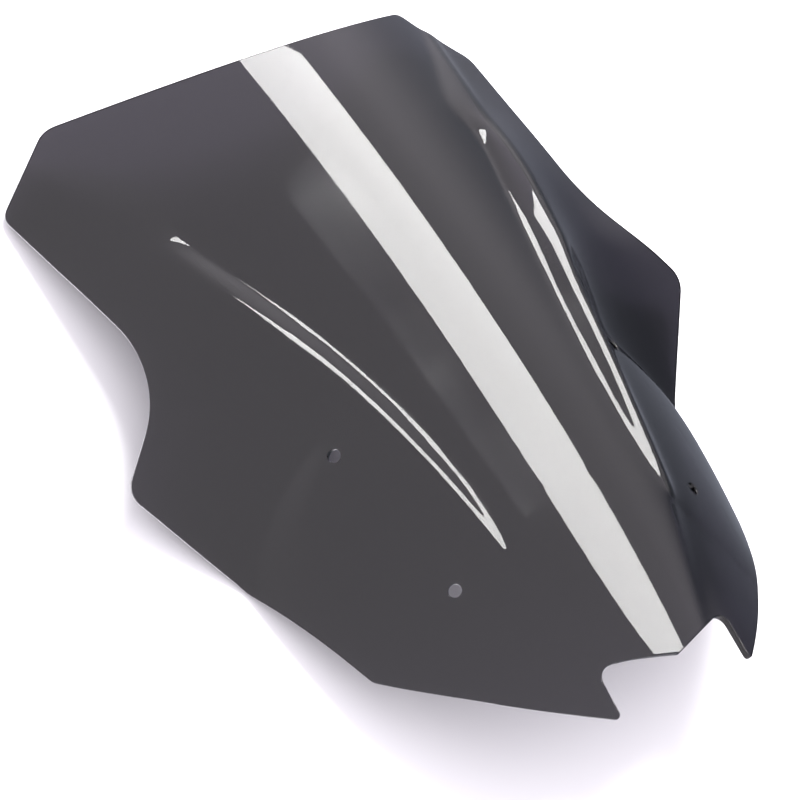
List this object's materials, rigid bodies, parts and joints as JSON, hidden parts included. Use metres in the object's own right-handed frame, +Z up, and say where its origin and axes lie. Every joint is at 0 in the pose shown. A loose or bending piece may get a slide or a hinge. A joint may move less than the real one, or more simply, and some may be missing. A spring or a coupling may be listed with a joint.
{
  "type": "windshield screen",
  "caption": "Tinted, curved motorcycle windshield screen: one formed plastic sheet with raised side ridges, notched lower edge and drilled screw holes for fastening to the bike's bracket.",
  "frame": {"origin": "on the table under the middle of the screen's bounding box, as the screen rests crown up", "axes": "+X to the screen's right side seen from above with the wide upper edge away, +Y towards the wide upper edge, +Z up"},
  "size_m": [0.4154, 0.4896, 0.109],
  "materials": {
    "smoke_acrylic": "clear glossy smoke-tinted acrylic, polished both sides"
  },
  "bodies": {
    "root": {"screen_panel": "smoke_acrylic"}
  },
  "joints": []
}
